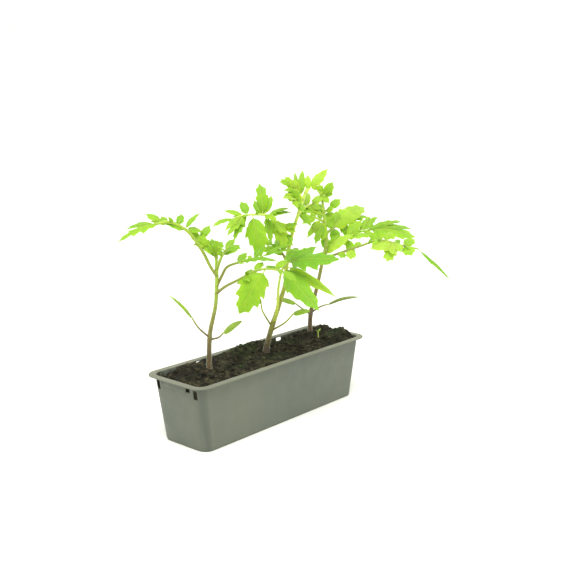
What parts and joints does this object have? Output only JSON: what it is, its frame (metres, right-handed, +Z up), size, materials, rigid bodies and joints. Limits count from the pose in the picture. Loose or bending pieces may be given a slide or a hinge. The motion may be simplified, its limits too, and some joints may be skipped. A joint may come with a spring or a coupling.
{
  "type": "potted tomato plants",
  "caption": "Young tomato plants with toothed compound leaves, growing in a row from peat in a long grey plastic trough with a flat rim.",
  "frame": {"origin": "centre of the trough's flat base, on the surface that it stands on", "axes": "+X along the trough's length, towards the right-hand plant; +Y across it, away from the long side that the picture shows; +Z up"},
  "size_m": [0.4219, 0.1933, 0.2996],
  "materials": {
    "trough_plastic": "grey-green moulded polypropylene, satin, with a lighter rim",
    "peat": "dark brown moist peat, rough and crumbly",
    "leaf_green": "fresh yellow-green leaf, soft sheen, fine veins",
    "seed_leaf_green": "paler green seed leaf, smooth",
    "stem_green": "olive green stem, red-brown at the foot, finely haired"
  },
  "bodies": {
    "root": {"trough": "trough_plastic", "soil": "peat", "sprout": "seed_leaf_green", "left_stem": "stem_green", "left_leaf_1": "leaf_green", "left_leaf_2": "leaf_green", "left_leaf_3": "leaf_green", "left_leaf_4": "leaf_green", "left_leaf_5": "leaf_green", "left_seed_leaf_1": "seed_leaf_green", "left_seed_leaf_2": "seed_leaf_green", "middle_stem": "stem_green", "middle_leaf_1": "leaf_green", "middle_leaf_2": "leaf_green", "middle_leaf_3": "leaf_green", "middle_leaf_4": "leaf_green", "middle_leaf_5": "leaf_green", "middle_leaf_6": "leaf_green", "middle_leaf_7": "leaf_green", "middle_seed_leaf_1": "seed_leaf_green", "middle_seed_leaf_2": "seed_leaf_green", "right_stem": "stem_green", "right_leaf_1": "leaf_green", "right_leaf_2": "leaf_green", "right_leaf_3": "leaf_green", "right_leaf_4": "leaf_green", "right_leaf_5": "leaf_green", "right_leaf_6": "leaf_green", "right_leaf_7": "leaf_green", "right_seed_leaf_1": "seed_leaf_green", "right_seed_leaf_2": "seed_leaf_green"}
  },
  "joints": []
}
